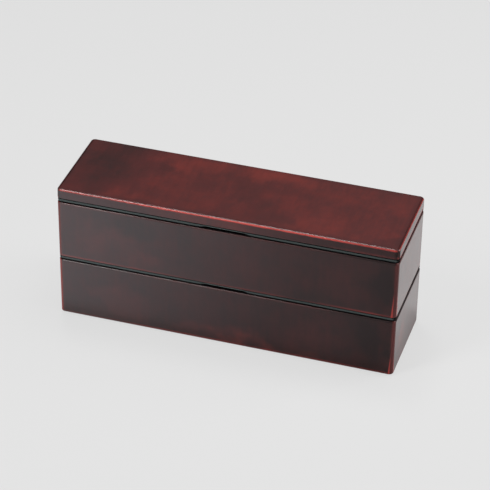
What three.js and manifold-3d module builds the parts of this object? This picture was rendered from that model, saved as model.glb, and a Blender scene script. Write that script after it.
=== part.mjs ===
// A slim bento box: two lacquered tiers, each closed by a black inner lid with a seal, under one outer lid.
// Millimetres, +Z up. The origin is the middle of the foot that the lower tier stands on.
// The long side runs along X, and the front is at -Y.

import * as THREE from 'three';
import { mergeVertices } from 'three/addons/utils/BufferGeometryUtils.js';
import Module from 'manifold-3d';

const wasm = await Module();
wasm.setup();

// Plan of the box, at the rim of a tier and at the lower edge of the lid
const length = 225;
const width = 66;
const outerCorner = 3;
const innerCorner = 5;

// Tiers
const tierHeight = 41;
const wall = 2.4;
const draft = 0.1;
const floorThickness = 2.2;
const floorFillet = 4;
const rimRound = 0.5;
const skirtRound = 0.5;
const footHeight = 1.2;
const footInset = 3.2;
const footRound = 0.4;

// Inner lids
const flangeHeight = 2.2;
const flangeInset = 0.2;
const flangeRound = 0.25;
const rebateHeight = 0.85;
const rebateDepth = 1.1;
const plateThickness = 1.8;
const plugWall = 3;
const upperLand = 1.4;
const lowerLand = 1.4;
const grooveDepth = 1.4;
const notchLength = 33;
const notchRamp = 4;
const notchHeight = 0.85;
const notchUndercut = 0.7;

// Seals
const gasketHeight = 2;
const gasketLip = 0.5;

// Lid
const lidHeight = 6.8;
const lidTop = 2.2;
const lidWall = 2.2;
const lidFlare = 0.1;
const lidRound = 1.3;
const lidEdgeRound = 0.25;
const ribThickness = 1.4;

// Divider
const dividerThickness = 1.6;
const dividerGrip = 14;
const dividerGripThickness = 1.4;
const dividerCorner = 2;
const dividerPlace = 35;

// Clearances between pieces that seat on or slide in each other
const seatGap = 0.3;
const lidGap = 0.7;
const trayClearance = 0.5;
const plugClearance = 0.5;
const gasketPlay = 0.3;
const dividerClearance = 0.4;
const dividerHeadroom = 1;

// Facets, and how far a cutter runs past what it cuts
const cornerSteps = 3;
const arcSteps = 2;
const sharpestCorner = 0.2;
const cutOverrun = 0.5;

// Sizes that follow from those above
const innerFamily = innerCorner + wall;
const floorTop = floorThickness - footHeight;
const trayDepth = footHeight;
const trayInset = footInset - trayClearance;
const plateTop = flangeHeight - trayDepth;
const plateBottom = plateTop - plateThickness;
const rebateInset = flangeInset + rebateDepth;
const plugInset = wall + plugClearance;
const plugInner = plugInset + plugWall;
const grooveHeight = gasketHeight + 2 * gasketPlay;
const grooveBottom = -upperLand - grooveHeight;
const grooveInset = plugInset + grooveDepth;
const plugBottom = grooveBottom - lowerLand;
const ribInset = footInset;
const ribDrop = lidGap + trayDepth - seatGap;
const lidUnderside = lidHeight - lidTop;
const dividerBottom = floorTop + seatGap;
const dividerTop = tierHeight + seatGap + plugBottom - dividerHeadroom;
const dividerHalf = width / 2 - wall - draft - dividerClearance;

// Levels of the pieces above the surface that the box stands on
const lowerTierLevel = footHeight;
const lowerInnerLidLevel = lowerTierLevel + tierHeight + seatGap;
const upperTierLevel = lowerInnerLidLevel + flangeHeight + seatGap;
const upperInnerLidLevel = upperTierLevel + tierHeight + seatGap;
const lidLevel = upperInnerLidLevel + flangeHeight + lidGap;

const quarter = Math.PI / 2;

// The box's plan moved in by an inset: a rectangle whose corner radius shrinks by that inset.
function planOutline(inset, corner) {
  const radius = Math.max(corner - inset, sharpestCorner);
  const x = length / 2 - inset - radius;
  const y = width / 2 - inset - radius;
  const outline = new THREE.Path();
  outline.absarc(x, y, radius, 0, quarter);
  outline.absarc(-x, y, radius, quarter, 2 * quarter);
  outline.absarc(-x, -y, radius, 2 * quarter, 3 * quarter);
  outline.absarc(x, -y, radius, 3 * quarter, 4 * quarter);
  return outline.getPoints(cornerSteps);
}

// One stretch of a wall's section with the corner of its plan. In a section, x is the inset and y the height.
function stretch(section, corner) {
  return section.getPoints(arcSteps).map((point) => ({ inset: point.x, height: point.y, corner }));
}

// A solid whose section runs round the plan. An open section is closed by a flat face at each end.
function runRound(stretches, isRing) {
  const section = stretches.flat();
  const rings = section.map(({ inset, corner }) => planOutline(inset, corner));
  const count = rings[0].length;
  const positions = [];
  const triangles = [];
  rings.forEach((ring, level) => {
    ring.forEach((point) => positions.push(point.x, point.y, section[level].height));
  });
  const bands = isRing ? rings.length : rings.length - 1;
  for (let level = 0; level < bands; level += 1) {
    const here = level * count;
    const next = ((level + 1) % rings.length) * count;
    for (let i = 0; i < count; i += 1) {
      const j = (i + 1) % count;
      triangles.push(here + i, here + j, next + j);
      triangles.push(here + i, next + j, next + i);
    }
  }
  if (!isRing) {
    const last = (rings.length - 1) * count;
    const lowCentre = rings.length * count;
    positions.push(0, 0, section[0].height);
    positions.push(0, 0, section[rings.length - 1].height);
    for (let i = 0; i < count; i += 1) {
      const j = (i + 1) % count;
      triangles.push(lowCentre, j, i);
      triangles.push(lowCentre + 1, last + i, last + j);
    }
  }
  const geometry = new THREE.BufferGeometry();
  geometry.setAttribute('position', new THREE.Float32BufferAttribute(positions, 3));
  geometry.setIndex(triangles);
  return geometry;
}

// A closed geometry as a solid that can be joined and cut.
function toSolid(geometry) {
  const bare = geometry.clone();
  bare.deleteAttribute('normal');
  bare.deleteAttribute('uv');
  const merged = mergeVertices(bare);
  return new wasm.Manifold(new wasm.Mesh({
    numProp: 3,
    vertProperties: new Float32Array(merged.attributes.position.array),
    triVerts: new Uint32Array(merged.index.array),
  }));
}

function toGeometry(solid) {
  const mesh = solid.getMesh();
  const geometry = new THREE.BufferGeometry();
  geometry.setAttribute('position', new THREE.BufferAttribute(mesh.vertProperties, 3));
  geometry.setIndex(new THREE.BufferAttribute(mesh.triVerts, 1));
  return geometry;
}

// A tier, from the lower edge of its skirt: a box with a foot set in below and a rounded floor inside.
function tierGeometry() {
  const foot = new THREE.Path();
  foot.absarc(footInset + footRound, footRound - footHeight, footRound, -quarter, -2 * quarter, true);
  foot.lineTo(footInset, 0);
  const outside = new THREE.Path();
  outside.absarc(draft + skirtRound, skirtRound, skirtRound, -quarter, -2 * quarter, true);
  outside.absarc(rimRound, tierHeight - rimRound, rimRound, 2 * quarter, quarter, true);
  const inside = new THREE.Path();
  inside.absarc(wall - rimRound, tierHeight - rimRound, rimRound, quarter, 0, true);
  const floorCentre = wall + draft + floorFillet;
  inside.absarc(floorCentre, floorTop + floorFillet, floorFillet, 2 * quarter, 3 * quarter);
  return runRound([stretch(foot, innerFamily), stretch(outside, outerCorner), stretch(inside, innerFamily)]);
}

// The low cut in the middle of a flange's lower edge, where a finger lifts the inner lid.
function notchGeometry() {
  const half = notchLength / 2;
  const top = rebateHeight + notchHeight;
  const section = new THREE.Shape();
  section.moveTo(-half, rebateHeight);
  section.lineTo(notchRamp - half, top);
  section.lineTo(half - notchRamp, top);
  section.lineTo(half, rebateHeight);
  section.lineTo(half, -cutOverrun);
  section.lineTo(-half, -cutOverrun);
  const depth = rebateInset + notchUndercut;
  const cut = new THREE.ExtrudeGeometry(section, { depth: depth + cutOverrun, bevelEnabled: false });
  cut.rotateX(quarter);
  cut.translate(0, depth - width / 2, 0);
  return cut;
}

// An inner lid, from its flange's underside: a plate with a flange on the rim and a grooved plug below it.
// A rebate under the flange leaves a dark line above the tier's rim.
function innerLidGeometry() {
  const plug = new THREE.Path();
  plug.moveTo(plugInner, plateBottom);
  plug.lineTo(plugInner, plugBottom);
  plug.lineTo(plugInset, plugBottom);
  plug.lineTo(plugInset, grooveBottom);
  plug.lineTo(grooveInset, grooveBottom);
  plug.lineTo(grooveInset, -upperLand);
  plug.lineTo(plugInset, -upperLand);
  plug.lineTo(plugInset, 0);
  const flange = new THREE.Path();
  flange.moveTo(rebateInset, 0);
  flange.lineTo(rebateInset, rebateHeight);
  const flangeCentre = flangeInset + flangeRound;
  flange.absarc(flangeCentre, rebateHeight + flangeRound, flangeRound, -quarter, -2 * quarter, true);
  flange.absarc(flangeCentre, flangeHeight - flangeRound, flangeRound, 2 * quarter, quarter, true);
  const tray = new THREE.Path();
  tray.moveTo(trayInset, flangeHeight);
  tray.lineTo(trayInset, plateTop);
  const blank = runRound([
    stretch(plug, innerFamily),
    stretch(flange, outerCorner),
    stretch(tray, innerFamily),
  ]);
  const frontNotch = toSolid(notchGeometry());
  const backNotch = toSolid(notchGeometry().rotateZ(Math.PI));
  return toGeometry(toSolid(blank).subtract(frontNotch).subtract(backNotch));
}

// A seal, from the same level as its inner lid: a ring in the groove with a lip towards the tier's wall.
function gasketGeometry() {
  const back = grooveInset - gasketPlay;
  const lip = wall + seatGap;
  const top = -upperLand - gasketPlay;
  const bottom = top - gasketHeight;
  const section = new THREE.Path();
  section.moveTo(back, bottom);
  section.lineTo(lip + gasketLip, bottom);
  const middle = (top + bottom) / 2;
  section.absellipse(lip + gasketLip, middle, gasketLip, gasketHeight / 2, -quarter, -3 * quarter, true);
  section.lineTo(back, top);
  return runRound([stretch(section, innerFamily)], true);
}

// The lid, from the lower edge of its skirt: a shallow tray turned over, with a rib in the inner lid's tray.
function lidGeometry() {
  const inside = new THREE.Path();
  inside.moveTo(ribInset + ribThickness, lidUnderside);
  inside.lineTo(ribInset + ribThickness, -ribDrop);
  inside.lineTo(ribInset, -ribDrop);
  inside.lineTo(ribInset, lidUnderside);
  inside.lineTo(lidWall, lidUnderside);
  inside.lineTo(lidWall, 0);
  const outside = new THREE.Path();
  outside.absarc(lidEdgeRound, lidEdgeRound, lidEdgeRound, -quarter, -2 * quarter, true);
  outside.absarc(lidFlare + lidRound, lidHeight - lidRound, lidRound, 2 * quarter, quarter, true);
  return runRound([stretch(inside, innerFamily), stretch(outside, outerCorner)]);
}

// The divider, from the level of the tier's skirt: a plate across the tier with a grip along each long wall.
function dividerGeometry() {
  const plate = new THREE.Shape();
  plate.absarc(dividerHalf - dividerCorner, dividerTop - dividerCorner, dividerCorner, 0, quarter);
  plate.absarc(dividerCorner - dividerHalf, dividerTop - dividerCorner, dividerCorner, quarter, 2 * quarter);
  plate.absarc(floorFillet - dividerHalf, dividerBottom + floorFillet, floorFillet, 2 * quarter, 3 * quarter);
  plate.absarc(dividerHalf - floorFillet, dividerBottom + floorFillet, floorFillet, 3 * quarter, 4 * quarter);
  const plateBlank = new THREE.ExtrudeGeometry(plate, {
    depth: dividerThickness,
    bevelEnabled: false,
    curveSegments: 2 * arcSteps,
  });
  plateBlank.translate(0, 0, -dividerThickness / 2);
  plateBlank.rotateX(quarter);
  plateBlank.rotateZ(quarter);

  const gripBottom = floorTop + floorFillet + dividerClearance;
  const x = dividerGrip / 2 - dividerCorner;
  const grip = new THREE.Shape();
  grip.absarc(x, dividerTop - dividerCorner, dividerCorner, 0, quarter);
  grip.absarc(-x, dividerTop - dividerCorner, dividerCorner, quarter, 2 * quarter);
  grip.absarc(-x, gripBottom + dividerCorner, dividerCorner, 2 * quarter, 3 * quarter);
  grip.absarc(x, gripBottom + dividerCorner, dividerCorner, 3 * quarter, 4 * quarter);
  const gripBlank = new THREE.ExtrudeGeometry(grip, {
    depth: dividerGripThickness,
    bevelEnabled: false,
    curveSegments: 2 * arcSteps,
  });
  gripBlank.rotateX(quarter);
  gripBlank.translate(0, dividerGripThickness - dividerHalf, 0);
  const frontGrip = toSolid(gripBlank);
  const backGrip = toSolid(gripBlank.clone().rotateZ(Math.PI));
  return toGeometry(toSolid(plateBlank).add(frontGrip).add(backGrip));
}

const lacquer = { color: 0x4a2b2a, roughness: 0.28, metalness: 0 };
const blackResin = { color: 0x24272a, roughness: 0.45, metalness: 0 };
const silicone = { color: 0x8f9290, roughness: 0.6, metalness: 0 };

function place(name, geometry, finish, level, x = 0) {
  const mesh = new THREE.Mesh(geometry, new THREE.MeshStandardMaterial(finish));
  mesh.name = name;
  mesh.position.set(x, 0, level);
  return mesh;
}

const bentoBox = new THREE.Group();
bentoBox.add(
  place('lower_tier', tierGeometry(), lacquer, lowerTierLevel),
  place('lower_inner_lid', innerLidGeometry(), blackResin, lowerInnerLidLevel),
  place('lower_gasket', gasketGeometry(), silicone, lowerInnerLidLevel),
  place('upper_tier', tierGeometry(), lacquer, upperTierLevel),
  place('divider', dividerGeometry(), blackResin, upperTierLevel, dividerPlace),
  place('upper_inner_lid', innerLidGeometry(), blackResin, upperInnerLidLevel),
  place('upper_gasket', gasketGeometry(), silicone, upperInnerLidLevel),
  place('lid', lidGeometry(), lacquer, lidLevel),
);

export default bentoBox;
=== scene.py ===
import functools
import math
from types import SimpleNamespace

import bmesh
import bpy
from mathutils import Matrix, Vector


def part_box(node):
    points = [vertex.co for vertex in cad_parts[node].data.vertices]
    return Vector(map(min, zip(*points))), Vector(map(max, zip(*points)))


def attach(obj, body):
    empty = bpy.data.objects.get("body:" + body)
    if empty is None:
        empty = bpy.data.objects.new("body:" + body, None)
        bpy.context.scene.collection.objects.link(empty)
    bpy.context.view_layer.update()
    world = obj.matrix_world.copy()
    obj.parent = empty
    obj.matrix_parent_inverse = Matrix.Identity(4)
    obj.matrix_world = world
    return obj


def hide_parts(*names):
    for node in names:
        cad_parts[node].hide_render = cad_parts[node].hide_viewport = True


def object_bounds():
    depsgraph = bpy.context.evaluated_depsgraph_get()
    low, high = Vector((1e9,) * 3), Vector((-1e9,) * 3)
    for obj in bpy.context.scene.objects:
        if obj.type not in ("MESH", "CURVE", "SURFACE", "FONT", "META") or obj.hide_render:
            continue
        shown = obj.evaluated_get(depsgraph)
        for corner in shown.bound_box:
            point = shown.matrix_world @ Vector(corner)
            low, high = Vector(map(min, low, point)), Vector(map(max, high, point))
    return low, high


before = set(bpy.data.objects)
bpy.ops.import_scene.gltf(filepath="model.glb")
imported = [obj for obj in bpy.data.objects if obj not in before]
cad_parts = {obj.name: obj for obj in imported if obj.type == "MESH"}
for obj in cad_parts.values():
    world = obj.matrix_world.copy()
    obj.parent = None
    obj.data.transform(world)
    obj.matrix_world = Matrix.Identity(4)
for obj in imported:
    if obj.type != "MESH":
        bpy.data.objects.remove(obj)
cad_low, cad_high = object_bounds()

MM = 0.001
HALF_X = cad_high.x
HALF_Y = cad_high.y

# Plan of the box, and its tiers
OUTER_CORNER = 3 * MM
WALL = 2.4 * MM
INNER_CORNER = 5 * MM + WALL
DRAFT = 0.1 * MM
FLOOR = 2.2 * MM
FLOOR_FILLET = 4 * MM
RIM_ROUND = 0.5 * MM
SKIRT_ROUND = 0.5 * MM
FOOT_HEIGHT = 1.2 * MM
FOOT_INSET = 3.2 * MM
FOOT_ROUND = 0.4 * MM

# Inner lids and their seals
FLANGE_HEIGHT = 2.2 * MM
FLANGE_INSET = 0.2 * MM
FLANGE_ROUND = 0.25 * MM
REBATE_HEIGHT = 0.85 * MM
REBATE_INSET = FLANGE_INSET + 1.1 * MM
PLATE = 1.8 * MM
PLUG_INSET = 2.9 * MM
PLUG_WALL = 3 * MM
TRAY_INSET = 2.7 * MM
TRAY_DEPTH = FOOT_HEIGHT
LAND = 1.4 * MM
GROOVE_HEIGHT = 2.6 * MM
GROOVE_INSET = 4.3 * MM
PLUG_DEPTH = 2 * LAND + GROOVE_HEIGHT
NOTCH_HALF = 16.5 * MM
NOTCH_RAMP = 4 * MM
NOTCH_HEIGHT = 0.85 * MM
NOTCH_UNDERCUT = 0.7 * MM
SEAL_BACK = 4 * MM
SEAL_ROOT = 3.2 * MM
SEAL_LIP = 2.7 * MM
SEAL_GAP = 0.3 * MM

# Lid
LID_HEIGHT = 6.8 * MM
LID_TOP = 2.2 * MM
LID_WALL = 2.2 * MM
LID_FLARE = 0.1 * MM
LID_ROUND = 1.3 * MM
LID_EDGE_ROUND = 0.25 * MM
RIB_INSET = FOOT_INSET
RIB = 1.4 * MM
RIB_DROP = 1.6 * MM

# Divider
WEB = 1.6 * MM
GRIP_WALL = 1.4 * MM
GRIP_CORNER = 2 * MM
GRIP_LIFT = FLOOR_FILLET + 0.1 * MM
LET_IN = 0.1 * MM
FLAT_AREA = 4 * MM * MM
QUARTER_TURN = math.radians(90)

# Roundings of the moulded edges, and the loops that hold the flat faces flat beside them
SMALL_ROUND = 0.2 * MM
CORNER_SEGMENTS = 8
ARC_STEPS = 5
EDGE_SEGMENTS = 2
SHARP_ANGLE = math.radians(40)
SUPPORT = 0.2 * MM
CUT_TOLERANCE = 1e-7

# The loops of a moulding are joined while they are stacked this far apart, and then set to their heights
STACKING = 10 * MM

# Camera
VIEW_AZIMUTH = 16.88
VIEW_ELEVATION = 33.79
VIEW_ROLL = 0.90
VIEW_DISTANCE = 1.4935
VIEW_TARGET = Vector((0.0086, -0.0169, 0.0685))
VIEW_LENS = 173.0

# Pale floor, and how much of what the camera and the lacquer see there is a backdrop of its own light
PALE = 0.738
FLOOR_HALF = 6.0
FLOOR_ROUGHNESS = 0.9
BACKDROP_SHARE = 0.85
GLOSSY_SHARE = 0.9

# Backdrop that the lacquer mirrors, painted light and shade on the floor: its level against the camera's,
# and how it changes in front of the box, left of it, far behind it, and close to it, where it holds a
# painted shadow
MIRRORED = 0.92
FRONT_ZONE = (-6 * MM, 2 * MM)
FRONT_SLANT = 0.93
FRONT_GAIN = 0.46
FRONT_FALL = 1.15
FRONT_FALL_ZONE = (-200 * MM, 60 * MM)
CORNER_FALL = 0.1
CORNER_FALL_ZONE = (60 * MM, 100 * MM)
FRONT_BLUE = 0.05
BLUE_ZONE = (0, 20 * MM)
LEFT_SHADE = 0.6
LEFT_ZONE = (0, 5 * MM)
LEFT_FRONT_ZONE = (-10 * MM, 0)
FAR_GAIN = 0.6
FAR_ZONE = (120 * MM, 300 * MM)
CONTACT_SHADE = 0.45
CONTACT_ZONE = (0, 18 * MM)

# Room: pale at the horizon and dim above it, less so on the right and at the back
HORIZON = 0.64
HORIZON_ZONE = (0, 0.14)
ROOM = 0.103
ROOM_LEFT = 0.6
ROOM_RIGHT_GAIN = 0.5
ROOM_RIGHT_ZONE = (-0.36, -0.12)
ROOM_BACK_ZONE = (0.35, 0.75)
ROOM_BACK_GAIN = 0.05
ROOM_BACK_RIGHT_GAIN = 0.3

# Places of a piece's materials in its mesh
LACQUER, BLACK = 0, 1

# Sockets of the Mix node for two colours and their mixture
MIX_FIRST, MIX_SECOND, MIXTURE = 6, 7, 2

# Lacquer, from the darkest clouds to the reddest, and where it is worn through
GROUND = [(0.0, (0.020, 0.006, 0.006)), (0.5, (0.062, 0.0095, 0.009)), (1.0, (0.150, 0.018, 0.013))]
WORN_RED = (0.52, 0.036, 0.024)

# Patterns of the lacquer: cells in a metre, and how far each turns the ground from dark to red
# or moves its marks
NOISE_MEAN = 0.5
CLOUD_SCALE = 24
CLOUD_SWIRL = 0.6
CLOUDS = 0.34
MOTTLE_SCALE = 95
MOTTLE = 0.34
STREAK_SCALE = 260
STREAK_STRETCH = (1, 0.05, 0.05)
TOP_STREAKS = 0.10
WALL_STREAKS = 0.26
GRAIN_SCALE = 420
GRAIN_STRETCH = (1, 0.3, 0.3)
GRAIN = 0.2
BORDER_SHADE = 0.1
# Painted shade along the seams of the ends, and along the rims at the seams of the long sides
END_SEAM_PAINTED_SHADE = 0.7
RIM_SEAM_PAINTED_SHADE = 0.3
# Painted shade along the lid's polished end edges
END_EDGE_PAINTED_SHADE = 0.22
DRIFT_SCALE = 34
DRIFT = 16 * MM
RUB_SCALE = 160
RUB = 0.8 * MM
DRAG_SCALE = 26
DRAG = (0.2, 0.6)
SEED_SHIFT = Vector((0.31, 0.17, 0.11))

# Gloss of the lacquer, and its fine unevenness
LACQUER_ROUGHNESS = 0.34
STREAK_ROUGHNESS = 0.08
FINE_ROUGHNESS = 0.05
DULL_ROUGHNESS = 0.3
POLISH = 0.25
COAT_ROUGHNESS = 0.22
COAT_MOTTLE = 0.3
END_SEAM_DULLNESS = 0.8
FINE_SCALE = 1500
FINE_BUMP = 0.25
RIPPLE_SCALE = 120
RIPPLE_BUMP = 0.75
LACQUER_BUMP = (0.05, 0.2 * MM)

# Where the lacquer's zones start and end, as distances from the outside of the piece
WALL_ZONE = (0.3 * MM, 1.0 * MM)
END_ZONE = (1 * MM, 4 * MM)
TURN_ZONE = (1.5 * MM, 3 * MM)
BORDER_START = (0.5 * MM, 1.5 * MM)
BORDER_END = (2 * MM, 6 * MM)
END_EDGE_START = (0.25 * MM, 0.5 * MM)
END_EDGE_END = (1.2 * MM, 2.6 * MM)
END_MITRE = (0, 0.5 * MM)
RIM_SEAM = (0.6 * MM, 1.4 * MM)
FOOT_SEAM = (0.25 * MM, 0.9 * MM)
RIM_WEAR = (0.75 * MM, 1.3 * MM)
END_RIM_WEAR = (0.7 * MM, 1.4 * MM)
FOOT_WEAR = (1.0 * MM, 2.1 * MM)
END_FOOT_WEAR = (1.0 * MM, 2.0 * MM)
CORNER_WEAR = (1.4 * MM, 2.6 * MM)
WEDGE_START = (1.9 * MM, 2.2 * MM)
WEDGE_EDGE = (-0.1 * MM, 0.25 * MM)

# Factors on the distances of the worn rims, inward and downward, and how far the wedges are worn
RIM_INWARD = 1.7
RIM_DOWNWARD = 0.9
END_RIM_INWARD = 1.4
WEDGE_WEAR = 0.75

# Black resin: the painted sheen of its strips along the front and back, lighter on the left and over the
# notch, and the deep black of the rest, which is painted shade on the ends and in the rebate
STRIP_SHEEN_LEFT = (0.068, 0.086, 0.085)
STRIP_SHEEN_RIGHT = (0.054, 0.069, 0.068)
STRIP_NOTCH_SHEEN = (0.13, 0.16, 0.155)
STRIP_SHEEN_FADE = (-90 * MM, 50 * MM)
STRIP_SCUFFS = 0.4
STRIP_END = (0, 2 * MM)
DEEP_BLACK_AND_SHADE = (0.006, 0.006, 0.0065)
FLANGE_FACE = (0.45 * MM, 0.9 * MM)
RESIN_ROUGHNESS = 0.55
RESIN_SCUFFING = 0.1
HIDDEN_ROUGHNESS = 0.2
RESIN_SPECULAR = 0.2
RESIN_BUMP = (0.1, 0.1 * MM)

# Black inside of the lacquered pieces
INSIDE_BLACK = (0.008, 0.008, 0.009)
INSIDE_SCUFFED = (0.014, 0.014, 0.015)
INSIDE_ROUGHNESS = 0.26
INSIDE_SCUFFING = 0.14
INSIDE_BUMP = (0.03, 0.1 * MM)

# Scuffs and moulded texture of both blacks, in cells in a metre
SCUFF_SCALE = 55
SCUFF_SWIRL = 0.4
TEXTURE_SCALE = 2600

# Grey silicone
SILICONE = (0.27, 0.28, 0.27)
DUSTY_SILICONE = (0.34, 0.35, 0.34)
SILICONE_ROUGHNESS = 0.5
DUST_ROUGHNESS = 0.15
DUST_SCALE = 300
SILICONE_TEXTURE_SCALE = 1800
SILICONE_BUMP = (0.1, 0.1 * MM)

# Along the box: where its left end, its two halves and its right end pass into each other
LEFT_PART = (-80 * MM, -40 * MM)
MIDDLE = (-10 * MM, 10 * MM)
RIGHT_PART = (55 * MM, 95 * MM)

# Patches in the lacquer fade between these shares of their size
SPOT_FADE = (0.1, 1)

# Faces that the patches lie on, and how deep the patches reach, in millimetres
TOP_FACE, TOP_DEPTH = 95, 50
FRONT_FACE, FRONT_DEPTH = -33, 30
END_FACE, END_DEPTH = 112, 10


class Wire:
    """An output of a node. Sums on wires and numbers add Math nodes."""

    def __init__(self, tree, socket):
        self.tree = tree
        self.socket = socket

    @classmethod
    def node(cls, tree, kind, settings=None, inputs=None, output=0):
        """Adds any node: its settings first, then the values or wires of its inputs."""
        made = tree.nodes.new(kind)
        for name, value in (settings or {}).items():
            if name == "stops":
                ramp = made.color_ramp.elements
                for i, (place, colour) in enumerate(value):
                    stop = ramp[i] if i < len(ramp) else ramp.new(place)
                    stop.position = place
                    stop.color = (*colour, 1)
            else:
                setattr(made, name, value)
        for name, value in (inputs or {}).items():
            if isinstance(value, Wire):
                tree.links.new(value.socket, made.inputs[name])
            else:
                made.inputs[name].default_value = value
        return cls(tree, made.outputs[output])

    def other(self, output):
        """Another output of the same node."""
        return Wire(self.tree, self.socket.node.outputs[output])

    def math(self, operation, first, second=0.0):
        return Wire.node(self.tree, "ShaderNodeMath", {"operation": operation}, {0: first, 1: second})

    def __add__(self, other):
        return self.math("ADD", self, other)

    def __sub__(self, other):
        return self.math("SUBTRACT", self, other)

    def __rsub__(self, other):
        return self.math("SUBTRACT", other, self)

    def __mul__(self, other):
        return self.math("MULTIPLY", self, other)

    def __neg__(self):
        return self.math("MULTIPLY", self, -1)

    def __abs__(self):
        return self.math("ABSOLUTE", self)

    def least(self, other):
        return self.math("MINIMUM", self, other)

    def most(self, other):
        return self.math("MAXIMUM", self, other)

    def step(self, low, high):
        """0 at low, 1 at high and smooth between them."""
        inputs = {"Value": self, "From Min": low, "From Max": high}
        return Wire.node(self.tree, "ShaderNodeMapRange", {"interpolation_type": "SMOOTHSTEP"}, inputs)

    __radd__ = __add__
    __rmul__ = __mul__


def new_material(name):
    """A material, its shader and the wire of its object coordinates."""
    material = bpy.data.materials.new(name)
    material.use_nodes = True
    tree = material.node_tree
    place = Wire.node(tree, "ShaderNodeTexCoord", output="Object")
    return material, tree.nodes["Principled BSDF"], place


def connect(shader, wires):
    for name, wire in wires.items():
        wire.tree.links.new(wire.socket, shader.inputs[name])


def axes(place):
    """The x, y and z of a place."""
    x = Wire.node(place.tree, "ShaderNodeSeparateXYZ", inputs={0: place})
    return x, x.other("Y"), x.other("Z")


def noise(place, scale, detail=2.0, stretch=(1, 1, 1), shift=(0, 0, 0), distortion=0.0, normalize=True):
    """A noise from 0 to 1, or about 0, with its coordinates stretched and shifted first."""
    mapped = Wire.node(
        place.tree,
        "ShaderNodeMapping",
        inputs={"Vector": place, "Scale": stretch, "Location": shift},
    )
    inputs = {"Vector": mapped, "Scale": scale, "Detail": detail, "Distortion": distortion}
    return Wire.node(place.tree, "ShaderNodeTexNoise", {"normalize": normalize}, inputs)


def spot(place, centre, size):
    """1 in the middle of an oval and 0 beyond it, smooth between."""
    mapped = Wire.node(
        place.tree,
        "ShaderNodeMapping",
        {"vector_type": "TEXTURE"},
        {"Vector": place, "Location": centre, "Scale": size},
    )
    reach = Wire.node(place.tree, "ShaderNodeVectorMath", {"operation": "LENGTH"}, {0: mapped}, "Value")
    return 1 - reach.step(*SPOT_FADE)


def mix(factor, first, second):
    """A colour between two, each a wire or an (r, g, b)."""
    inputs = {
        0: factor,
        MIX_FIRST: first if isinstance(first, Wire) else (*first, 1),
        MIX_SECOND: second if isinstance(second, Wire) else (*second, 1),
    }
    return Wire.node(factor.tree, "ShaderNodeMix", {"data_type": "RGBA"}, inputs, MIXTURE)


def bump(height, strength, distance):
    inputs = {"Height": height, "Strength": strength, "Distance": distance}
    return Wire.node(height.tree, "ShaderNodeBump", inputs=inputs)


def lacquer_zones(place, bottom, top, is_under_seam):
    """Where a point lies on its lacquered piece: distances from the outside, and masks made of them."""
    x, y, z = axes(place)
    gap_x = HALF_X - abs(x)
    gap_y = HALF_Y - abs(y)
    at = SimpleNamespace()
    at.side = gap_x.least(gap_y)
    at.corner = gap_x.most(gap_y)
    at.below_top = top - z
    at.above_bottom = z - bottom
    at.wall = 1 - at.side.step(*WALL_ZONE)
    at.end = at.wall * (1 - gap_x.step(*END_ZONE))
    at.long_side = at.wall - at.end
    at.turn = at.wall * (1 - at.corner.step(*TURN_ZONE))
    at.border = at.side.step(*BORDER_START) * (1 - at.side.step(*BORDER_END))
    at.seam = 1 - at.above_bottom.step(*FOOT_SEAM)
    if is_under_seam:
        at.seam = at.seam.most(1 - at.below_top.step(*RIM_SEAM))
    at.along_end = (gap_y - gap_x).step(*END_MITRE)
    at.end_edge = at.along_end * at.side.step(*END_EDGE_START) * (1 - at.side.step(*END_EDGE_END))
    at.end_foot = 1 - gap_x.step(*END_FOOT_WEAR)
    at.left_part = 1 - x.step(*LEFT_PART)
    at.right_part = x.step(*RIGHT_PART)
    at.right_half = x.step(*MIDDLE)
    return at


def across(at, values):
    """A value that changes along the box, from its left end over the middle to its right end."""
    left, middle, right = values
    return middle + at.left_part * (left - middle) + at.right_part * (right - middle)


def lacquer_ground(place, at, shift, mottle, streaks, look):
    """The colour of the clouds, from nearly black to red, with painted light and shade on some faces, seams
    and edges.
    """
    drift = noise(place, DRIFT_SCALE, detail=3, shift=shift, normalize=False).other("Color")
    warp = {0: drift, 1: (DRIFT, DRIFT, DRIFT), 2: place}
    warped = Wire.node(place.tree, "ShaderNodeVectorMath", {"operation": "MULTIPLY_ADD"}, warp)
    clouds = noise(place, CLOUD_SCALE, detail=3, shift=shift, distortion=CLOUD_SWIRL)
    grain = noise(place, GRAIN_SCALE, stretch=GRAIN_STRETCH, shift=shift)
    streakiness = TOP_STREAKS + at.wall * (WALL_STREAKS - TOP_STREAKS)
    redness = look["tone"] + (clouds - NOISE_MEAN) * CLOUDS + (mottle - NOISE_MEAN) * MOTTLE
    redness = redness + (streaks - NOISE_MEAN) * streakiness + (grain - NOISE_MEAN) * GRAIN
    for centre, half_sizes, amount, is_on_wall in look["patches"]:
        face = at.wall if is_on_wall else 1 - at.wall
        redness = redness + spot(warped, centre, half_sizes) * face * amount
    # Tones by face: on the tiers the end tone is painted light from the right, which turns their ends
    # redder, and on the lid the corner tone is painted shade on its vertical corners
    redness = redness - at.border * BORDER_SHADE + at.long_side * look["side_tone"]
    # Painted shade along the seams, on the ends here and on the rims of the long sides below
    redness = redness + at.end * (look["end_tone_and_light"] - at.seam * END_SEAM_PAINTED_SHADE) + at.turn * look["corner_painted_shade"]
    redness = redness - at.seam * at.long_side * across(at, look["dull_and_shaded_rim"]) * RIM_SEAM_PAINTED_SHADE
    # Painted shade along the lid's end edges, where they are also polished
    redness = redness - at.end_edge * look["polished_and_shaded_end_edge"] * END_EDGE_PAINTED_SHADE
    return Wire.node(place.tree, "ShaderNodeValToRGB", {"stops": GROUND}, {"Fac": redness})


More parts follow.
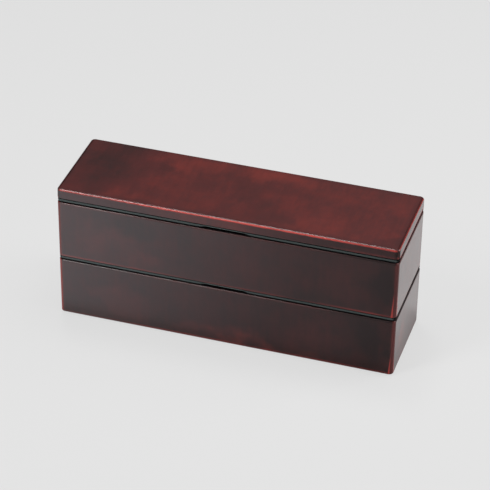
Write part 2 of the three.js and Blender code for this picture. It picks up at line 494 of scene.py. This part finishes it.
def lacquer_wear(place, at, shift, look):
    """How far the edges are worn through to the red, from 0 to 1."""
    rub = (noise(place, RUB_SCALE, detail=3, shift=shift) - NOISE_MEAN) * RUB
    drag = noise(place, DRAG_SCALE, shift=shift).step(*DRAG)
    rim = 1 - ((at.side * RIM_INWARD).most(at.below_top * RIM_DOWNWARD) + rub).step(*RIM_WEAR)
    end_rim = 1 - (at.side * END_RIM_INWARD).most(at.below_top).step(*END_RIM_WEAR)
    foot = 1 - (at.side.most(at.above_bottom) + rub).step(*FOOT_WEAR)
    rounding = 1 - (at.corner + rub).step(*CORNER_WEAR)
    left_corner, right_corner = look["corners"]
    marks = [
        rim * (1 - at.along_end) * across(at, look["rim"]),
        end_rim * at.along_end * at.right_half * look["end_rim"],
        foot * drag * across(at, look["foot"]),
        foot * at.end_foot * (1 - at.turn) * look["end_foot"],
        rounding * at.right_half * right_corner,
        rounding * (1 - at.right_half) * left_corner,
    ]
    if "wedge" in look:
        width, height = look["wedge"]
        reach = width - at.above_bottom * (width / height) + WEDGE_START[1] - at.corner
        marks.append(at.corner.step(*WEDGE_START) * reach.step(*WEDGE_EDGE) * at.right_half * WEDGE_WEAR)
    return functools.reduce(Wire.most, marks)


def lacquer_dullness(at, look):
    """How far the clear coat is rubbed off and dull, from 0 to 1."""
    left, right = look["dull_corners"]
    marks = [
        at.seam * at.end * END_SEAM_DULLNESS,
        at.seam * at.long_side * across(at, look["dull_and_shaded_rim"]),
        at.turn * across(at, (left, 0, right)),
    ]
    return functools.reduce(Wire.most, marks)


def lacquer(name, bottom, top, look):
    """Dark clear lacquer over red: clouded on the faces, and rubbed thin along the edges. Its ground also
    holds painted light and shade.
    """
    material, shader, place = new_material(name)
    shift = look["seed"] * SEED_SHIFT
    mottle = noise(place, MOTTLE_SCALE, detail=3, shift=shift)
    streaks = noise(place, STREAK_SCALE, detail=3, stretch=STREAK_STRETCH, shift=shift)
    fine = noise(place, FINE_SCALE)
    ripple = noise(place, RIPPLE_SCALE, shift=shift)
    at = lacquer_zones(place, bottom, top, look["is_under_seam"])
    dull = lacquer_dullness(at, look)
    polished = at.end_edge * look["polished_and_shaded_end_edge"]
    ground = lacquer_ground(place, at, shift, mottle, streaks, look)
    roughness = LACQUER_ROUGHNESS + streaks * STREAK_ROUGHNESS + fine * FINE_ROUGHNESS
    connect(shader, {
        "Base Color": mix(lacquer_wear(place, at, shift, look), ground, WORN_RED),
        "Roughness": roughness + dull * DULL_ROUGHNESS - polished * POLISH,
        "Coat Weight": (1 - dull.most(polished)) * (look["coat"] - mottle * COAT_MOTTLE),
        "Normal": bump(fine * FINE_BUMP + ripple * RIPPLE_BUMP, *LACQUER_BUMP),
    })
    shader.inputs["Coat Roughness"].default_value = COAT_ROUGHNESS
    return material


def black_lacquer():
    """The black inside of the lacquered pieces, with faint scuffs."""
    material, shader, place = new_material("black_lacquer")
    scuffs = noise(place, SCUFF_SCALE, detail=4, distortion=SCUFF_SWIRL)
    connect(shader, {
        "Base Color": mix(scuffs, INSIDE_BLACK, INSIDE_SCUFFED),
        "Roughness": INSIDE_ROUGHNESS + scuffs * INSIDE_SCUFFING,
        "Normal": bump(noise(place, TEXTURE_SCALE), *INSIDE_BUMP),
    })
    return material


def black_resin():
    """Black resin with a greenish grey painted sheen on the flange's long faces, lighter to the left and
    most over the notch, and deep black behind the flange's face and on the ends, a painted shade in the
    rebate and on the ends.
    """
    material, shader, place = new_material("black_resin")
    scuffs = noise(place, SCUFF_SCALE, detail=4, distortion=SCUFF_SWIRL)
    x, y, _ = axes(place)
    gap_x = HALF_X - abs(x)
    gap_y = HALF_Y - abs(y)
    # Deep black behind the flange's face and on the ends, a painted shade in the rebate and on the ends
    at_end = 1 - (gap_x - gap_y).step(*STRIP_END)
    behind_and_ends = gap_x.least(gap_y).step(*FLANGE_FACE).most(at_end)
    over_notch = 1 - abs(x).step(NOTCH_HALF - 2 * NOTCH_RAMP, NOTCH_HALF - NOTCH_RAMP / 2)
    # Painted sheen on the flange's long faces, lighter to the left and most over the notch
    fade = x.step(*STRIP_SHEEN_FADE) + (scuffs - NOISE_MEAN) * STRIP_SCUFFS
    strip = mix(fade, STRIP_SHEEN_LEFT, STRIP_SHEEN_RIGHT)
    connect(shader, {
        "Base Color": mix(behind_and_ends, mix(over_notch, strip, STRIP_NOTCH_SHEEN), DEEP_BLACK_AND_SHADE),
        "Roughness": RESIN_ROUGHNESS + scuffs * RESIN_SCUFFING + behind_and_ends * HIDDEN_ROUGHNESS,
        "Normal": bump(noise(place, TEXTURE_SCALE), *RESIN_BUMP),
    })
    shader.inputs["Specular IOR Level"].default_value = RESIN_SPECULAR
    return material


def grey_silicone():
    """Grey silicone with a dull, slightly dusty surface."""
    material, shader, place = new_material("grey_silicone")
    dust = noise(place, DUST_SCALE, detail=4)
    connect(shader, {
        "Base Color": mix(dust, SILICONE, DUSTY_SILICONE),
        "Roughness": SILICONE_ROUGHNESS + dust * DUST_ROUGHNESS,
        "Normal": bump(noise(place, SILICONE_TEXTURE_SCALE), *SILICONE_BUMP),
    })
    return material


def plan_loop(bm, inset, corner, height):
    """The edges of the box's plan, moved in by an inset, as a rounded rectangle at a height."""
    before = set(bm.edges)
    made = bmesh.ops.create_grid(bm, x_segments=1, y_segments=1, size=1)
    bmesh.ops.scale(bm, vec=(HALF_X - inset, HALF_Y - inset, 1), verts=made["verts"])
    bmesh.ops.translate(bm, vec=(0, 0, height), verts=made["verts"])
    bmesh.ops.bevel(
        bm,
        geom=made["verts"],
        offset=corner - inset,
        segments=CORNER_SEGMENTS,
        profile=0.5,
        affect="VERTICES",
        material=-1,
    )
    loop = [edge for edge in bm.edges if edge not in before]
    bmesh.ops.delete(bm, geom=loop[0].link_faces[:], context="FACES_ONLY")
    return loop


def rounded(corners):
    """A wall's section with its corners rounded. A corner is (inset, height, radius)."""
    course = []
    for i, (inset, height, radius) in enumerate(corners):
        here = Vector((inset, height))
        if radius == 0:
            course.append(here)
            continue
        back = (Vector(corners[i - 1][:2]) - here).normalized()
        on = (Vector(corners[(i + 1) % len(corners)][:2]) - here).normalized()
        half_angle = back.angle(on) / 2
        reach = radius / math.tan(half_angle)
        centre = here + (back + on).normalized() * radius / math.sin(half_angle)
        start = here + back * reach - centre
        end = here + on * reach - centre
        course.append(here + back * (reach + SUPPORT))
        for step in range(ARC_STEPS + 1):
            course.append(centre + start.slerp(end, step / ARC_STEPS) * radius)
        course.append(here + on * (reach + SUPPORT))
    return course


def cut(bm, axis, place):
    """Adds an edge loop where a plane square to an axis crosses a mesh."""
    normal = Vector((axis == "x", axis == "y", axis == "z"))
    everything = bm.verts[:] + bm.edges[:] + bm.faces[:]
    bmesh.ops.bisect_plane(
        bm,
        geom=everything,
        dist=CUT_TOLERANCE,
        plane_co=normal * place,
        plane_no=normal,
    )


def moulding(courses, level, is_ring=False):
    """A bmesh whose section runs round the plan. A course is (section, corner, finish)."""
    bm = bmesh.new()
    loops = []
    for course, corner, finish in courses:
        for inset, height in course:
            edges = plan_loop(bm, inset, corner, len(loops) * STACKING)
            loops.append((edges, level + height, finish))
    following = loops[1:] + loops[:1] if is_ring else loops[1:]
    for (here, _, _), (there, _, finish) in zip(loops, following):
        for face in bmesh.ops.bridge_loops(bm, edges=here + there)["faces"]:
            face.material_index = finish
    if not is_ring:
        for edges, _, finish in (loops[0], loops[-1]):
            cap = bmesh.ops.contextual_create(bm, geom=edges)["faces"][0]
            cap.material_index = finish
    for edges, height, _ in loops:
        for vert in {vert for edge in edges for vert in edge.verts}:
            vert.co.z = height
    for corner in {corner for _, corner, _ in courses}:
        for side in (-1, 1):
            cut(bm, "x", side * (HALF_X - corner - SUPPORT))
            cut(bm, "y", side * (HALF_Y - corner - SUPPORT))
    bmesh.ops.recalc_face_normals(bm, faces=bm.faces[:])
    return bm


def tier(level, height):
    """A tier from the lower edge of its skirt: foot, drafted wall, rim and rounded floor."""
    foot = rounded([
        (2 * FOOT_INSET, -FOOT_HEIGHT, 0),
        (FOOT_INSET, -FOOT_HEIGHT, FOOT_ROUND),
        (FOOT_INSET, 0, 0),
    ])
    outside = rounded([
        (FOOT_INSET, 0, 0),
        (DRAFT, 0, SKIRT_ROUND),
        (0, height, RIM_ROUND),
        (WALL / 2, height, 0),
    ])
    inside = rounded([
        (WALL / 2, height, 0),
        (WALL, height, RIM_ROUND),
        (WALL + DRAFT, FLOOR - FOOT_HEIGHT, FLOOR_FILLET),
        (INNER_CORNER, FLOOR - FOOT_HEIGHT, 0),
    ])
    courses = [
        (foot[1:], INNER_CORNER, BLACK),
        (outside[1:-1], OUTER_CORNER, LACQUER),
        (inside[1:-1], INNER_CORNER, BLACK),
    ]
    return moulding(courses, level)


def lid(level):
    """The lid from the lower edge of its skirt: a tray turned over, with a rib inside."""
    under = LID_HEIGHT - LID_TOP
    rib_inner = RIB_INSET + RIB
    inside = rounded([
        (rib_inner + RIB, under, 0),
        (rib_inner, under, SMALL_ROUND),
        (rib_inner, -RIB_DROP, SMALL_ROUND),
        (RIB_INSET, -RIB_DROP, SMALL_ROUND),
        (RIB_INSET, under, SMALL_ROUND),
        (LID_WALL, under, SMALL_ROUND),
        (LID_WALL, 0, SMALL_ROUND),
        (LID_EDGE_ROUND, 0, 0),
    ])
    outside = rounded([
        (LID_WALL, 0, 0),
        (0, 0, LID_EDGE_ROUND),
        (LID_FLARE, LID_HEIGHT, LID_ROUND),
        (RIB_INSET, LID_HEIGHT, 0),
    ])
    courses = [(inside[1:-1], INNER_CORNER, BLACK), (outside[1:-1], OUTER_CORNER, LACQUER)]
    return moulding(courses, level)


def inner_lid(level):
    """An inner lid from its flange's underside: a grooved plug, a flange and a shallow tray."""
    plug_inner = PLUG_INSET + PLUG_WALL
    plate_top = FLANGE_HEIGHT - TRAY_DEPTH
    plate_bottom = plate_top - PLATE
    groove_bottom = -LAND - GROOVE_HEIGHT
    plug = rounded([
        (INNER_CORNER, plate_bottom, 0),
        (plug_inner, plate_bottom, SMALL_ROUND),
        (plug_inner, -PLUG_DEPTH, SMALL_ROUND),
        (PLUG_INSET, -PLUG_DEPTH, SMALL_ROUND),
        (PLUG_INSET, groove_bottom, SMALL_ROUND),
        (GROOVE_INSET, groove_bottom, SMALL_ROUND),
        (GROOVE_INSET, -LAND, SMALL_ROUND),
        (PLUG_INSET, -LAND, SMALL_ROUND),
        (PLUG_INSET, 0, SMALL_ROUND),
        (REBATE_INSET, 0, 0),
    ])
    flange = rounded([
        (PLUG_INSET, 0, 0),
        (REBATE_INSET, 0, SMALL_ROUND),
        (REBATE_INSET, REBATE_HEIGHT, SMALL_ROUND),
        (FLANGE_INSET, REBATE_HEIGHT, FLANGE_ROUND),
        (FLANGE_INSET, FLANGE_HEIGHT, FLANGE_ROUND),
        (TRAY_INSET, FLANGE_HEIGHT, 0),
    ])
    tray = rounded([
        (FLANGE_INSET, FLANGE_HEIGHT, 0),
        (TRAY_INSET, FLANGE_HEIGHT, SMALL_ROUND),
        (TRAY_INSET, plate_top, SMALL_ROUND),
        (INNER_CORNER, plate_top, 0),
    ])
    courses = [
        (plug[1:-1], INNER_CORNER, 0),
        (flange[1:-1], OUTER_CORNER, 0),
        (tray[1:-1], INNER_CORNER, 0),
    ]
    bm = moulding(courses, level)
    raise_notch(bm, level)
    return bm


def raise_notch(bm, level):
    """Lifts the middle of the flange's lower edge on both long sides, for a finger."""
    top = NOTCH_HALF - NOTCH_RAMP
    for place in (-NOTCH_HALF, -top, top, NOTCH_HALF):
        cut(bm, "x", place)
    wall = HALF_Y - REBATE_INSET
    floor = level + REBATE_HEIGHT / 2
    full = level + REBATE_HEIGHT + FLANGE_ROUND
    still = level + FLANGE_HEIGHT - FLANGE_ROUND - SUPPORT
    for vert in bm.verts:
        is_near = abs(vert.co.x) < top + SUPPORT and -SUPPORT < abs(vert.co.y) - wall + 2 * SUPPORT
        if not is_near or vert.co.z > still:
            continue
        if vert.co.z > floor:
            vert.co.z += NOTCH_HEIGHT * min(1, (still - vert.co.z) / (still - full))
        if abs(vert.co.y) < wall + SUPPORT / 2 and vert.co.z > level - SUPPORT / 2:
            vert.co.y -= math.copysign(NOTCH_UNDERCUT, vert.co.y)


def seal(level):
    """A seal from the same level as its inner lid: a ring with a rounded lip."""
    top = -LAND - SEAL_GAP
    bottom = top - (GROOVE_HEIGHT - 2 * SEAL_GAP)
    section = rounded([
        (SEAL_BACK, bottom, SMALL_ROUND),
        (SEAL_ROOT, bottom, SMALL_ROUND),
        (SEAL_LIP, (top + bottom) / 2, SMALL_ROUND),
        (SEAL_ROOT, top, SMALL_ROUND),
        (SEAL_BACK, top, SMALL_ROUND),
    ])
    return moulding([(section, INNER_CORNER, 0)], level, is_ring=True)


def round_edges(bm, edges, radius):
    bmesh.ops.bevel(
        bm,
        geom=edges,
        offset=radius,
        segments=EDGE_SEGMENTS,
        profile=0.5,
        affect="EDGES",
        material=-1,
        clamp_overlap=True,
    )


def plate(bm, width, height, thickness, foot_round, place):
    """Adds a plate with rounded corners and edges, made flat and then moved to its place."""
    known = set(bm.verts)
    made = bmesh.ops.create_grid(bm, x_segments=1, y_segments=1, size=0.5)["verts"]
    bmesh.ops.scale(bm, vec=(width, height, 1), verts=made)
    top = [vert for vert in made if vert.co.y > 0]
    foot = [vert for vert in made if vert.co.y < 0]
    for corners, radius in ((top, GRIP_CORNER), (foot, foot_round)):
        bmesh.ops.bevel(
            bm,
            geom=corners,
            offset=radius,
            segments=ARC_STEPS,
            profile=0.5,
            affect="VERTICES",
            material=-1,
        )
    sheet = [face for face in bm.faces if face.verts[0] not in known]
    bmesh.ops.translate(bm, vec=(0, 0, -thickness / 2), verts=sheet[0].verts[:])
    raised = bmesh.ops.extrude_face_region(bm, geom=sheet)["geom"]
    raised = [vert for vert in raised if isinstance(vert, bmesh.types.BMVert)]
    bmesh.ops.translate(bm, vec=(0, 0, thickness), verts=raised)
    faces = [face for face in bm.faces if face.verts[0] not in known]
    bmesh.ops.recalc_face_normals(bm, faces=faces)
    sharp = {edge for face in faces for edge in face.edges if edge.calc_face_angle(0) > SHARP_ANGLE}
    round_edges(bm, list(sharp), SMALL_ROUND)
    flat = [
        face for face in bm.faces
        if face.verts[0] not in known and face.calc_area() > FLAT_AREA
    ]
    bmesh.ops.inset_individual(bm, faces=flat, thickness=SUPPORT)
    bmesh.ops.transform(bm, matrix=place, verts=[vert for vert in bm.verts if vert not in known])


def divider(low, high):
    """The divider: a web across the tier, let into a grip along each long wall."""
    bm = bmesh.new()
    upright = Matrix.Rotation(QUARTER_TURN, 4, "X")
    crosswise = Matrix.Rotation(QUARTER_TURN, 4, "Z") @ upright
    middle = (low + high) / 2
    height = high.z - low.z
    web_middle = Vector((middle.x, 0, middle.z - LET_IN / 2))
    web_place = Matrix.Translation(web_middle) @ crosswise
    plate(bm, 2 * (high.y - LET_IN), height - LET_IN, WEB, FLOOR_FILLET, web_place)
    for side in (-1, 1):
        grip_middle = Vector((middle.x, side * (high.y - GRIP_WALL / 2), middle.z + GRIP_LIFT / 2))
        grip_place = Matrix.Translation(grip_middle) @ upright
        plate(bm, high.x - low.x, height - GRIP_LIFT, GRIP_WALL, GRIP_CORNER, grip_place)
    return bm


def finish_piece(bm, name, materials, body, node):
    """Turns a bmesh into a smooth piece that rides on a body and stands for a node."""
    mesh = bpy.data.meshes.new(name)
    for face in bm.faces:
        face.smooth = True
    bm.to_mesh(mesh)
    bm.free()
    for material in materials:
        mesh.materials.append(material)
    piece = bpy.data.objects.new(name, mesh)
    bpy.context.scene.collection.objects.link(piece)
    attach(piece, body)
    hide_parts(node)


def add_tier(node, look, black):
    low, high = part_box(node)
    skirt = low.z + FOOT_HEIGHT
    finish = lacquer(f"lacquer_{node}", skirt, high.z, look)
    bm = tier(skirt, high.z - skirt)
    finish_piece(bm, f"lacquered_{node}", [finish, black], node, node)


def add_inner_lid(node, gasket, resin, silicone):
    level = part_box(node)[0].z + PLUG_DEPTH
    finish_piece(inner_lid(level), f"black_{node}", [resin], node, node)
    finish_piece(seal(level), f"{gasket}_seal", [silicone], node, gasket)


def add_lid(look, black):
    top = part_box("lid")[1].z
    bottom = top - LID_HEIGHT
    finish = lacquer("lacquer_lid", bottom, top, look)
    finish_piece(lid(bottom), "lacquered_lid", [finish, black], "lid", "lid")


def add_divider(resin):
    finish_piece(divider(*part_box("divider")), "black_divider", [resin], "divider", "divider")


def add_floor():
    """A pale floor. The camera sees mostly an even backdrop there, and the lacquer a graded one of painted
    light and shade.
    """
    bm = bmesh.new()
    bmesh.ops.create_grid(bm, x_segments=1, y_segments=1, size=FLOOR_HALF)
    mesh = bpy.data.meshes.new("floor")
    bm.to_mesh(mesh)
    bm.free()
    floor = bpy.data.objects.new("floor", mesh)
    bpy.context.scene.collection.objects.link(floor)
    material, shader, place = new_material("pale_floor")
    tree = material.node_tree
    shader.inputs["Base Color"].default_value = (PALE, PALE, PALE, 1)
    shader.inputs["Roughness"].default_value = FLOOR_ROUGHNESS
    camera = Wire.node(tree, "ShaderNodeLightPath", output="Is Camera Ray")
    glossy = camera.other("Is Glossy Ray")
    seen = camera.most(camera.other("Is Transmission Ray")) * BACKDROP_SHARE + glossy * GLOSSY_SHARE
    x, y, _ = axes(place)
    ahead = -y - HALF_Y
    left = -x - HALF_X
    right = x - HALF_X
    # Painted shadow close to the box, and painted light and shade over the floor, in what the lacquer
    # mirrors
    contact = 1 - left.most(right).most(ahead).most(y - HALF_Y).step(*CONTACT_ZONE)
    along = FRONT_GAIN - FRONT_FALL * x.step(*FRONT_FALL_ZONE) - CORNER_FALL * x.step(*CORNER_FALL_ZONE)
    front = (ahead + right.most(0) * FRONT_SLANT).step(*FRONT_ZONE) * along
    shade = left.step(*LEFT_ZONE) * (1 - ahead.step(*LEFT_FRONT_ZONE))
    far = y.step(*FAR_ZONE)
    gloss = (MIRRORED + front - LEFT_SHADE * shade + FAR_GAIN * far) * (1 - CONTACT_SHADE * contact)
    level = PALE * (1 + glossy * (gloss - 1))
    blue = level * (1 + glossy * ahead.step(*BLUE_ZONE) * FRONT_BLUE)
    tint = Wire.node(tree, "ShaderNodeCombineColor", inputs={"Red": level, "Green": level, "Blue": blue})
    backdrop = Wire.node(tree, "ShaderNodeEmission", inputs={"Color": tint})
    lit = Wire(tree, shader.outputs["BSDF"])
    surface = Wire.node(tree, "ShaderNodeMixShader", inputs={0: seen, 1: lit, 2: backdrop})
    tree.links.new(surface.socket, tree.nodes["Material Output"].inputs["Surface"])
    mesh.materials.append(material)


def add_world():
    """A room that is pale at the horizon and dim above it, less so on the right and at the back."""
    world = bpy.data.worlds.new("studio")
    world.use_nodes = True
    bpy.context.scene.world = world
    tree = world.node_tree
    way = Wire.node(tree, "ShaderNodeTexCoord", output="Generated")
    x, y, z = axes(way)
    right = x.step(*ROOM_RIGHT_ZONE)
    back = y.step(*ROOM_BACK_ZONE) * (ROOM_BACK_GAIN + right * ROOM_BACK_RIGHT_GAIN)
    dim = ROOM * (ROOM_LEFT + right * ROOM_RIGHT_GAIN + back)
    level = HORIZON - z.step(*HORIZON_ZONE) * (HORIZON - dim)
    tree.links.new(level.socket, tree.nodes["Background"].inputs["Color"])


def add_softbox(name, place, aim, size, power, is_mirrored=True):
    """A soft lamp. One that isn't mirrored lights the box, but leaves no glare on it."""
    lamp = bpy.data.lights.new(name, "AREA")
    lamp.shape = "RECTANGLE"
    lamp.size, lamp.size_y = size
    lamp.energy = power
    softbox = bpy.data.objects.new(name, lamp)
    softbox.visible_glossy = is_mirrored
    softbox.location = place
    softbox.rotation_euler = (Vector(aim) - Vector(place)).to_track_quat("-Z", "Y").to_euler()
    bpy.context.scene.collection.objects.link(softbox)


def add_camera():
    azimuth, elevation = math.radians(VIEW_AZIMUTH), math.radians(VIEW_ELEVATION)
    back = Vector((
        math.sin(azimuth) * math.cos(elevation),
        -math.cos(azimuth) * math.cos(elevation),
        math.sin(elevation),
    ))
    data = bpy.data.cameras.new("camera")
    data.lens = VIEW_LENS
    camera = bpy.data.objects.new("camera", data)
    aim = (-back).to_track_quat("-Z", "Y").to_matrix().to_4x4()
    roll = Matrix.Rotation(math.radians(VIEW_ROLL), 4, "Z")
    camera.matrix_world = Matrix.Translation(VIEW_TARGET + back * VIEW_DISTANCE) @ aim @ roll
    bpy.context.scene.collection.objects.link(camera)
    bpy.context.scene.camera = camera


def on_top(x, y, half_x, half_y, amount):
    """A patch on the lid's top where more or less red shows through, in millimetres."""
    return Vector((x, y, TOP_FACE)) * MM, Vector((half_x, half_y, TOP_DEPTH)) * MM, amount, False


def on_front(x, z, half_x, half_z, amount):
    """A patch like it on the front of a piece."""
    return Vector((x, FRONT_FACE, z)) * MM, Vector((half_x, FRONT_DEPTH, half_z)) * MM, amount, True


def on_end(y, z, half_y, half_z, amount):
    """A patch like it on the right end of a piece."""
    return Vector((END_FACE, y, z)) * MM, Vector((END_DEPTH, half_y, half_z)) * MM, amount, True


# The lacquer of each piece. Three values are for the left end, the middle and the right end of the box,
# and two are for the left and the right corners
# On the tiers, the end tone is painted light from the right that turns their ends redder; on the lid, the
# corner tone is painted shade on its vertical corners
LID_LOOK = {
    "seed": 3,
    "is_under_seam": False,
    "coat": 0.90,
    "tone": 0.56,
    "side_tone": -0.33,
    "end_tone_and_light": -0.4,
    "corner_painted_shade": -0.5,
    "rim": (0.6, 0.9, 0.66),
    "end_rim": 0.35,
    "foot": (0, 0, 0.12),
    "end_foot": 0.5,
    "corners": (0, 0),
    "dull_corners": (0.6, 1),
    "dull_and_shaded_rim": (0, 0, 0),
    "polished_and_shaded_end_edge": 1,
    "patches": [
        on_top(-90, 10, 48, 48, -0.45),
        on_top(-42, 25, 30, 20, 0.20),
        on_top(20, 28, 34, 18, 0.22),
        on_top(-2, 8, 30, 19, -0.16),
        on_top(22, -20, 26, 17, -0.16),
        on_top(58, -20, 20, 24, 0.12),
        on_top(-86, -24, 26, 14, -0.16),
        on_top(112, -28, 18, 16, -0.20),
        on_front(-10, 92, 62, 30, 0.45),
    ],
}
UPPER_LOOK = {
    "seed": 2,
    "is_under_seam": True,
    "coat": 1.1,
    "tone": 0.19,
    "side_tone": 0,
    "end_tone_and_light": 0.40,
    "corner_painted_shade": 0,
    "rim": (0.07, 0.05, 0),
    "end_rim": 0.12,
    "foot": (0.22, 0.13, 0.30),
    "end_foot": 0.1,
    "corners": (0.25, 0.12),
    "dull_corners": (0.8, 0),
    "dull_and_shaded_rim": (0, 0.5, 1),
    "polished_and_shaded_end_edge": 0,
    "wedge": (1.3 * MM, 17 * MM),
    "patches": [
        on_front(-80, 60, 30, 16, 0.25),
        on_front(-58, 49, 20, 8, 0.25),
        on_front(16, 64, 22, 30, 0.12),
        on_front(78, 60, 18, 20, 0.12),
        on_front(-56, 75, 28, 10, -0.20),
        on_front(104, 68, 16, 40, -0.30),
    ],
}
LOWER_LOOK = {
    "seed": 1,
    "is_under_seam": True,
    "coat": 1.1,
    "tone": 0.19,
    "side_tone": 0,
    "end_tone_and_light": 0.40,
    "corner_painted_shade": 0,
    "rim": (0, 0.04, 0),
    "end_rim": 0.02,
    "foot": (0.14, 0.26, 0.22),
    "end_foot": 0,
    "corners": (0.5, 0.16),
    "dull_corners": (0.8, 0),
    "dull_and_shaded_rim": (0, 0, 0.8),
    "polished_and_shaded_end_edge": 0,
    "wedge": (1.1 * MM, 13 * MM),
    "patches": [
        on_front(-72, 18, 34, 16, 0.25),
        on_front(12, 3, 60, 12, 0.52),
        on_front(56, 20, 28, 16, 0.20),
        on_front(104, 24, 16, 40, -0.20),
        on_front(58, 3, 26, 9, 0.24),
        on_end(-16, 10, 26, 22, 0.65),
    ],
}

add_camera()
inside_black = black_lacquer()
resin = black_resin()
silicone = grey_silicone()
add_tier("lower_tier", LOWER_LOOK, inside_black)
add_inner_lid("lower_inner_lid", "lower_gasket", resin, silicone)
add_tier("upper_tier", UPPER_LOOK, inside_black)
add_divider(resin)
add_inner_lid("upper_inner_lid", "upper_gasket", resin, silicone)
add_lid(LID_LOOK, inside_black)
add_floor()
add_world()
add_softbox("key", place=(0.08, 0.05, 1.2), aim=(0, 0, 0.05), size=(0.7, 0.7), power=7.5, is_mirrored=False)
add_softbox("strip", place=(-0.35, 0.5, 2), aim=(0, 0, 0.09), size=(0.3, 0.6), power=9)
add_softbox("window", place=(-0.52, -0.68, 0.97), aim=(0, 0, 0.05), size=(0.3, 0.6), power=7.8)
add_softbox("right", place=(0.75, 0.25, 0.55), aim=(0.05, 0, 0.05), size=(0.5, 0.5), power=4)
bpy.context.scene.view_settings.view_transform = "Standard"
